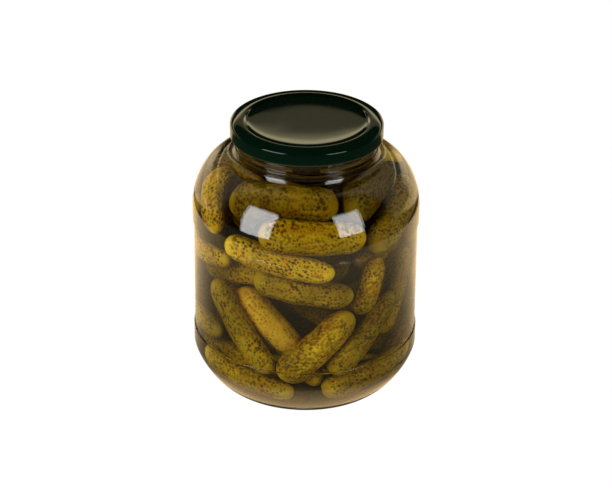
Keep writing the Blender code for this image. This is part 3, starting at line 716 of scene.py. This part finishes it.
def skinGroup():
    floats = [(name, "NodeSocketFloat") for name in ("Wart", "Along", "Tone")]
    vectors = [(name, "NodeSocketVector") for name in ("Place", "Streak")]
    colours = [(name, "NodeSocketColor") for name in ("Skin", "Pale", "Fleck")]
    results = [("Colour", "NodeSocketColor"), ("Roughness", "NodeSocketFloat"), ("Height", "NodeSocketFloat")]
    group, start, end = newGroup("gherkinSkin", floats + vectors + colours, results)
    given = start.outputs
    place = given["Place"]
    masks = {}
    for name, cloud in gherkin["clouds"].items():
        masks[name] = cloudNode(group, given["Streak"] if name == "streak" else place, *cloud)
    towardsEnd = fromMiddle(group, given["Along"])
    masks["ends"] = rangeNode(group, towardsEnd, *gherkin["paleEnds"])
    # the tone shifts the skin towards its pale colour: partly own colour, partly painted light and shade
    tone = mathNode(group, "SUBTRACT", given["Tone"], 1.0)
    lighter = mathNode(group, "MULTIPLY", tone, gherkin["toneShare"])
    for name, amount in gherkin["paler"].items():
        share = mathNode(group, "MULTIPLY", masks[name], amount)
        lighter = mathNode(group, "ADD", lighter, share, clamp=True)
    colour = mixColour(group, lighter, given["Skin"], given["Pale"])
    rusty = mixColour(group, 1.0, colour, gherkin["rust"], "MULTIPLY")
    colour = mixColour(group, mathNode(group, "MULTIPLY", masks["rust"], gherkin["rustShare"]), colour, rusty)
    edge = given["Wart"]
    for *noise, amount in gherkin["uneven"]:
        uneven = mathNode(group, "SUBTRACT", noiseNode(group, place, *noise), 0.5)
        edge = mathNode(group, "ADD", edge, mathNode(group, "MULTIPLY", uneven, amount))
    fleck = mathNode(group, "MULTIPLY", rangeNode(group, edge, *gherkin["fleckEdge"]), masks["faint"])
    red = mixColour(group, 1.0, given["Fleck"], gherkin["red"], "MULTIPLY")
    colour = mixColour(group, fleck, colour, mixColour(group, masks["redder"], given["Fleck"], red))
    bloom = rangeNode(group, masks["streak"], 0.0, 1.0, *gherkin["bloom"])
    bloom = mathNode(group, "MULTIPLY", rangeNode(group, towardsEnd, *gherkin["bloomEnds"]), bloom)
    colour = mixColour(group, bloom, colour, given["Pale"])
    # the tone scales the colour: partly own colour, partly painted light and shade
    tone = mathNode(group, "MULTIPLY", given["Tone"], masks["drift"])
    toned = vectorNode(group, "SCALE", colour, Scale=tone)
    above = mathNode(group, "SUBTRACT", given["Tone"], gherkin["bleachFrom"])
    bleach = mathNode(group, "MULTIPLY", above, gherkin["bleach"], clamp=True)
    bare = mathNode(group, "SUBTRACT", 1.0, mathNode(group, "MULTIPLY", fleck, gherkin["fleckKept"]))
    colour = mixColour(group, mathNode(group, "MULTIPLY", bleach, bare), toned, gherkin["bleached"])
    feed(group, end, "Colour", colour)
    feed(group, end, "Roughness", rangeNode(group, masks["mottle"], 0.0, 1.0, *gherkin["roughness"], False))
    feed(group, end, "Height", noiseNode(group, place, *gherkin["pores"]))
    return group


def skinMaterial(kind, group):
    material, tree, shader = newMaterial(kind + " gherkin skin", Specular_IOR_Level=gherkin["shine"])
    skin = newNode(tree, "ShaderNodeGroup", node_tree=group)
    for attribute in ("wart", "along", "tone"):
        reader = newNode(tree, "ShaderNodeAttribute", attribute_name=attribute)
        feed(tree, skin, attribute.title(), reader.outputs["Fac"])
    feed(tree, skin, "Place", objectPlace(tree))
    stretch = newNode(tree, "ShaderNodeMapping")
    feed(tree, stretch, "Vector", newNode(tree, "ShaderNodeTexCoord").outputs["UV"])
    feed(tree, stretch, "Scale", gherkin["streakScale"])
    feed(tree, skin, "Streak", stretch.outputs[0])
    for name, colour in gherkin["looks"][kind].items():
        feed(tree, skin, name.title(), colour)
    feed(tree, shader, "Base Color", skin.outputs["Colour"])
    feed(tree, shader, "Roughness", skin.outputs["Roughness"])
    pores = bumpNode(tree, skin.outputs["Height"], gherkin["poreDepth"], gherkin["poreStrength"])
    feed(tree, shader, "Normal", pores)
    return material


belowRim = rimHeight - glass["rimRounding"]
wallPlaces = np.array([place for place in innerGlass() if place[1] < belowRim])[::-1]


def wallRadius(heights):
    return np.interp(heights, wallPlaces[:, 1], wallPlaces[:, 0])


def readSolid(node):  # a gherkin solid's ends, bend and girth, from its own corners
    corners = np.unique(np.round([tuple(v.co) for v in frame["nodes"][node].data.vertices], 6), axis=0)
    apart = np.linalg.norm(corners[:, None] - corners, axis=2)
    first, last = np.unravel_index(apart.argmax(), apart.shape)
    length = apart[first, last]
    ends = corners[first], corners[last]
    line = (ends[1] - ends[0]) / length
    middle = (ends[0] + ends[1]) / 2
    share = (corners - middle) @ line / length * 2
    aside = corners - middle - np.outer((corners - middle) @ line, line)
    face = aside.mean(axis=0)
    face /= np.linalg.norm(face)
    bend = length * gherkin["bend"]
    spread = np.linalg.norm(aside - np.outer(bend * (1 - share**2), face), axis=1)
    inside = abs(share) < gherkin["straightShare"]
    fullness = np.sqrt(1 - abs(share[inside]) ** gherkin["roundPower"])
    fits = []
    for taper in (gherkin["taper"], -gherkin["taper"]):
        radius = spread[inside] / fullness / (1 - taper * share[inside])
        fits.append((radius.std(), float(np.median(radius)), taper))
    _, radius, taper = min(fits)
    solid = {"middle": middle, "line": line, "face": face}
    solid.update(length=length, radius=radius, taper=taper, bend=bend)
    return solid


def gherkinMesh(name, solid, seed):
    dice = np.random.default_rng(seed)
    rings, sides = gherkin["rings"], gherkin["sides"]
    turn = 2 * math.pi * np.arange(sides) / sides + math.pi  # the seam is at the back, away from the glass
    step = (np.arange(rings) + 0.6) / (rings + 0.2)
    along = 0.5 - 0.5 * np.cos(math.pi * step)
    share = 2 * along - 1
    cap = gherkin["cap"] * solid["radius"] / (solid["length"] / 2)
    rounded = np.clip((abs(share) - (1 - cap)) / cap, 0, 1)
    body = np.sqrt(1 - rounded**2) * (1 - solid["taper"] * share) * (1 - gherkin["slimming"] * share**2)
    radius = solid["radius"] * gherkin["swell"] * body[:, None] * np.ones(sides)
    phases = dice.uniform(0, 2 * math.pi, 12)
    sway = gherkin["lump"] * (  # waves of four sizes, along and round the gherkin
        np.sin(3.1 * along[:, None] * math.pi + phases[0]) * np.cos(turn + phases[1])
        + 0.7 * np.sin(5.3 * along[:, None] * math.pi + phases[2]) * np.cos(2 * turn + phases[3])
        + 0.5 * np.cos(3 * turn + phases[4])
        + 0.35 * np.sin(9 * along[:, None] * math.pi + phases[5]) * np.cos(3 * turn + phases[6])
    )
    wander = 0.8 * np.sin(4 * along[:, None] + phases[8])
    ribs = gherkin["rib"] * np.cos(gherkin["ribs"] * turn + phases[7] + wander)
    radius = radius * (1 + sway + ribs)
    across = np.cross(solid["line"], solid["face"])
    spine = solid["middle"] + np.outer(share * solid["length"] / 2, solid["line"])
    spine = spine + np.outer(solid["bend"] * (1 - share**2), solid["face"])
    spokes = np.cos(turn)[:, None] * solid["face"] + np.sin(turn)[:, None] * across
    points = spine[:, None] + radius[..., None] * spokes
    half = solid["line"] * solid["length"] / 2
    places = np.concatenate([points.reshape(-1, 3), [solid["middle"] - half, solid["middle"] + half]])
    faces, first, last = [], len(places) - 2, len(places) - 1
    index = np.arange(rings * sides).reshape(rings, sides)
    for low, high in zip(index, index[1:]):
        faces += np.column_stack((low, high, np.roll(high, -1), np.roll(low, -1))).tolist()
    faces += [(first, here, there) for here, there in zip(index[0].tolist(), np.roll(index[0], -1).tolist())]
    faces += [(last, there, here) for here, there in zip(index[-1].tolist(), np.roll(index[-1], -1).tolist())]
    mesh = bpy.data.meshes.new(name)
    mesh.from_pydata(places.tolist(), [], faces)
    lengths = np.concatenate([np.repeat(along, sides), (0.0, 1.0)])
    mesh.attributes.new("along", "FLOAT", "POINT").data.foreach_set("value", lengths.astype(np.float32))
    # listed tones are partly own colour and partly painted light and shade; the rest differ at random
    tone = np.full(len(places), gherkin["tones"].get(name, dice.uniform(0.85, 1.15)), np.float32)
    mesh.attributes.new("tone", "FLOAT", "POINT").data.foreach_set("value", tone)
    rounds = np.concatenate([np.tile(np.arange(sides) / sides, rings), (0.5, 0.5)])
    loops = np.zeros(len(mesh.loops), np.int32)
    mesh.loops.foreach_get("vertex_index", loops)
    starts = np.zeros(len(mesh.polygons), np.int32)
    mesh.polygons.foreach_get("loop_start", starts)
    counts = np.diff(np.append(starts, len(loops)))
    v = rounds[loops]
    lowest = np.repeat(np.minimum.reduceat(v, starts), counts)
    highest = np.repeat(np.maximum.reduceat(v, starts), counts)
    v = np.where((highest - lowest > 0.6) & (v < 0.5), v + 1, v)  # the last column of faces wraps round
    uv = np.column_stack((lengths[loops], v + seed))
    mesh.uv_layers.new(name="UVMap").data.foreach_set("uv", uv.astype(np.float32).ravel())
    mesh.validate()
    mesh.shade_smooth()
    return mesh


def pressOnGlass(mesh):  # flattens whatever would reach into the wall or the floor
    co = np.zeros(len(mesh.vertices) * 3)
    mesh.vertices.foreach_get("co", co)
    co = co.reshape(-1, 3)
    reach = np.hypot(co[:, 0], co[:, 1])
    floor = glass["baseThickness"] + glass["floorCrown"] * np.clip(1 - reach / floorRadius, 0, 1)
    co[:, 2] = np.clip(co[:, 2], floor + gherkin["wallGap"], brineLevel - gherkin["brineCover"])
    limit = wallRadius(co[:, 2]) - gherkin["wallGap"]
    co[:, :2] *= np.minimum(1, limit / np.maximum(reach, 1e-6))[:, None]
    mesh.vertices.foreach_set("co", co.ravel())
    mesh.update()


def layGherkins():
    warts, group = wartTree(), skinGroup()
    skins = {"skin_" + kind: skinMaterial(kind, group) for kind in gherkin["looks"]}
    slots = {part["node"]: part["material_slot"] for part in frame["record"]["subparts"]}
    for seed, node in enumerate(sorted(name for name in frame["nodes"] if "gherkin" in name)):
        name = "skin" + node.title().replace("_", "")
        mesh = gherkinMesh(name, readSolid(node), seed)
        piece = bpy.data.objects.new(name, mesh)
        bpy.context.scene.collection.objects.link(piece)
        runTree(piece, warts, Seed=seed, Finish=skins[slots[node]], **gherkin["warts"])
        pressOnGlass(piece.data)
        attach(piece, "jar")
        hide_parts(node)


layGherkins()
print("gherkins laid and warted")


# Studio
studio = {
    "floorSize": 3.0, "floorPaint": (0.02, 0.02, 0.02),
    "seen": (1.0, 1.0, 1.0),  # what the camera sees of floor and backdrop
    # painted reflections: colours the floor glows with where the glass shows it through or mirrors it, and
    # where on it one gives way to the next,
    # in metres: away from the jar's axis, or towards +Y where the name says depth
    "floorThroughGlass": (0.26, 0.20, 0.10), "throughDepth": (-0.05, 0.10),
    "frontMirrored": (0.12, 0.10, 0.05), "edgeMirrored": (0.62, 0.51, 0.28), "edgeAway": (0.17, 0.34),
    "backMirrored": (1.38, 1.02, 0.57), "backDepth": (-0.09, 0.20),
    "sidePass": (0.045, 0.070),  # only where a ray passes the axis this far away
    "dim": (0.02, 0.02, 0.015), "sheetAway": (0.349, 0.361), "farDepth": (0.30, 0.35),
    # painted reflection: a bright ring of floor round the jar's foot, which the base band mirrors
    "footMirrored": (1.6, 1.10, 0.54), "footAway": (0.074, 0.04218), "footLead": 0.4,
    # painted shadow: the floor right under the jar is dark where the glass mirrors it
    "underMirrored": (0.08, 0.055, 0.03), "underAway": (0.0625, 0.0655),
    # the room, its ways given as shares of a ray's direction
    "room": (0.008, 0.008, 0.006), "throughGlass": (0.50, 0.42, 0.28), "throughWay": (0.0, 0.3),
    "backdrop": (1.60, 1.40, 0.82), "backdropWay": (0.30, 0.65),
    "backdropSteps": (  # height from, to, brightness lost
        (0.352, 0.376, -1.0), (0.390, 0.402, 0.55), (0.400, 0.420, 0.313), (0.440, 0.460, 0.137),
    ),
    "besideBackdrop": (1.6, 1.25, 0.75),
    "besideWays": {"X": (0.20, 0.35), "Y": (0.55, 0.82), "Z": (0.14, 0.25, 1.0, 0.0)},
    "floorFill": (0.10, 0.10, 0.10), "roomFill": (0.06, 0.055, 0.045),
    "ceilingFill": (0.02, 0.018, 0.015), "ceilingWay": (0.3, 0.8),
    "backFill": (0.80, 0.74, 0.61), "backFillWay": (0.1, 0.8),
    "softboxes": {  # degrees from the front towards +X, elevation, distance, width, height, watts
        "leftSoftbox": (-50.0, 17.0, 1.15, 0.66, 0.92, 7.8),
        "rightSoftbox": (45.0, 18.0, 1.15, 0.54, 0.76, 4.6),
    },
    "aimHeight": 0.15,
    "lidShade": (0.168, 0.188, 1.0, 0.12),  # heights at the jar's axis, and the light left below and above
}


def byRay(tree, seen, through, mirrored, fill):  # a colour for each way in which a ray arrives
    path = newNode(tree, "ShaderNodeLightPath")
    held = mixColour(tree, path.outputs["Is Transmission Ray"], mirrored, through)
    held = mixColour(tree, path.outputs["Is Diffuse Ray"], held, fill)
    return mixColour(tree, path.outputs["Is Camera Ray"], held, seen)


def rayCourse(tree):  # where a ray meets the surface, the way back along it, and that way laid level
    geometry = newNode(tree, "ShaderNodeNewGeometry")
    level = vectorNode(tree, "MULTIPLY", geometry.outputs["Incoming"], (1.0, 1.0, 0.0))
    return geometry.outputs["Position"], geometry.outputs["Incoming"], level


# The floor's paint is near black and it glows instead: even white to the camera, painted reflections in
# colours chosen by ray type where the glass and lid mirror it or show it through, and a grey glow that lights
# the gherkins from below.
def addFloor():
    bpy.ops.mesh.primitive_plane_add(size=studio["floorSize"])
    floor = bpy.context.object
    floor.name = "studioFloor"
    material, tree, shader = newMaterial(
        "studio floor", Base_Color=studio["floorPaint"], Roughness=0.9, Specular_IOR_Level=0.0,
        Emission_Strength=1.0,
    )
    place = objectPlace(tree)
    away, depth = vectorNode(tree, "LENGTH", place), axisParts(tree, place)["Y"]
    edge = rangeNode(tree, away, *studio["edgeAway"])
    front = mixColour(tree, edge, studio["frontMirrored"], studio["edgeMirrored"])
    heading = vectorNode(tree, "NORMALIZE", rayCourse(tree)[2])
    passing = vectorNode(tree, "LENGTH", vectorNode(tree, "CROSS_PRODUCT", place, heading))
    passing = rangeNode(tree, passing, *studio["sidePass"])
    behind = mathNode(tree, "MULTIPLY", passing, rangeNode(tree, depth, *studio["backDepth"]))
    sheet = mixColour(tree, behind, front, studio["backMirrored"])
    inside = rangeNode(tree, away, *studio["sheetAway"], 1.0, 0.0)
    inside = mathNode(tree, "MAXIMUM", inside, rangeNode(tree, depth, *studio["farDepth"]))
    mirrored = mixColour(tree, inside, studio["dim"], sheet)
    # painted reflection: the bright ring round the foot, reaching further forward
    forward = mathNode(tree, "ADD", away, mathNode(tree, "MULTIPLY", depth, studio["footLead"]))
    foot = rangeNode(tree, forward, *studio["footAway"])
    mirrored = mixColour(tree, foot, mirrored, studio["footMirrored"])
    # painted shadow under the jar's foot, seen in the glass's lowest edge
    under = rangeNode(tree, away, *studio["underAway"], 1.0, 0.0)
    mirrored = mixColour(tree, under, mirrored, studio["underMirrored"])
    through = rangeNode(tree, depth, *studio["throughDepth"])
    through = mixColour(tree, through, studio["frontMirrored"], studio["floorThroughGlass"])
    glow = byRay(tree, studio["seen"], through, mirrored, studio["floorFill"])
    feed(tree, shader, "Emission Color", glow)
    floor.data.materials.append(material)


def addSky():
    world = bpy.data.worlds.new("studio room")
    world.use_nodes = True
    bpy.context.scene.world = world
    tree = world.node_tree
    way = axisParts(tree, newNode(tree, "ShaderNodeTexCoord").outputs["Generated"])
    low = 0.0
    for start, end, lost in studio["backdropSteps"]:
        low = mathNode(tree, "SUBTRACT", low, rangeNode(tree, way["Z"], start, end, 0.0, lost))
    low = mathNode(tree, "MULTIPLY", low, rangeNode(tree, way["Y"], *studio["backdropWay"]))
    mirrored = mixColour(tree, low, studio["room"], studio["backdrop"])
    beside = 1.0
    for axis, limits in studio["besideWays"].items():
        part = mathNode(tree, "ABSOLUTE", way["X"]) if axis == "X" else way[axis]
        beside = mathNode(tree, "MULTIPLY", beside, rangeNode(tree, part, *limits))
    mirrored = mixColour(tree, beside, mirrored, studio["besideBackdrop"])
    ceiling = rangeNode(tree, way["Z"], *studio["ceilingWay"])
    fill = mixColour(tree, ceiling, studio["roomFill"], studio["ceilingFill"])
    fill = mixColour(tree, rangeNode(tree, way["Y"], *studio["backFillWay"]), fill, studio["backFill"])
    through = rangeNode(tree, way["Y"], *studio["throughWay"])
    through = mixColour(tree, through, studio["room"], studio["throughGlass"])
    light = byRay(tree, studio["seen"], through, mirrored, fill)
    feed(tree, tree.nodes["Background"], "Color", light)


def underLid(tree):  # dims rays that cross the jar's axis above its neck, which would whiten the flat lid
    place, back, level = rayCourse(tree)
    distance = vectorNode(tree, "DOT_PRODUCT", level, place)
    step = vectorNode(tree, "DOT_PRODUCT", level, level)
    climb = mathNode(tree, "DIVIDE", distance, step)
    climb = mathNode(tree, "MULTIPLY", climb, axisParts(tree, back)["Z"])
    crossing = mathNode(tree, "SUBTRACT", axisParts(tree, place)["Z"], climb)
    return rangeNode(tree, crossing, *studio["lidShade"])


def addSoftboxes():
    for name, (aside, up, distance, width, height, watts) in studio["softboxes"].items():
        lamp = bpy.data.lights.new(name, "AREA")
        lamp.shape, lamp.size, lamp.size_y, lamp.energy = "RECTANGLE", width, height, watts
        lamp.use_nodes = True
        feed(lamp.node_tree, lamp.node_tree.nodes["Emission"], "Strength", underLid(lamp.node_tree))
        box = bpy.data.objects.new(name, lamp)
        bpy.context.scene.collection.objects.link(box)
        aside, up = math.radians(aside), math.radians(up)
        away = Vector((math.sin(aside) * math.cos(up), -math.cos(aside) * math.cos(up), math.sin(up)))
        box.location = Vector((0, 0, studio["aimHeight"])) + away * distance
        box.rotation_euler = away.to_track_quat("Z", "Y").to_euler()


addFloor()
addSky()
addSoftboxes()
print("studio lit")
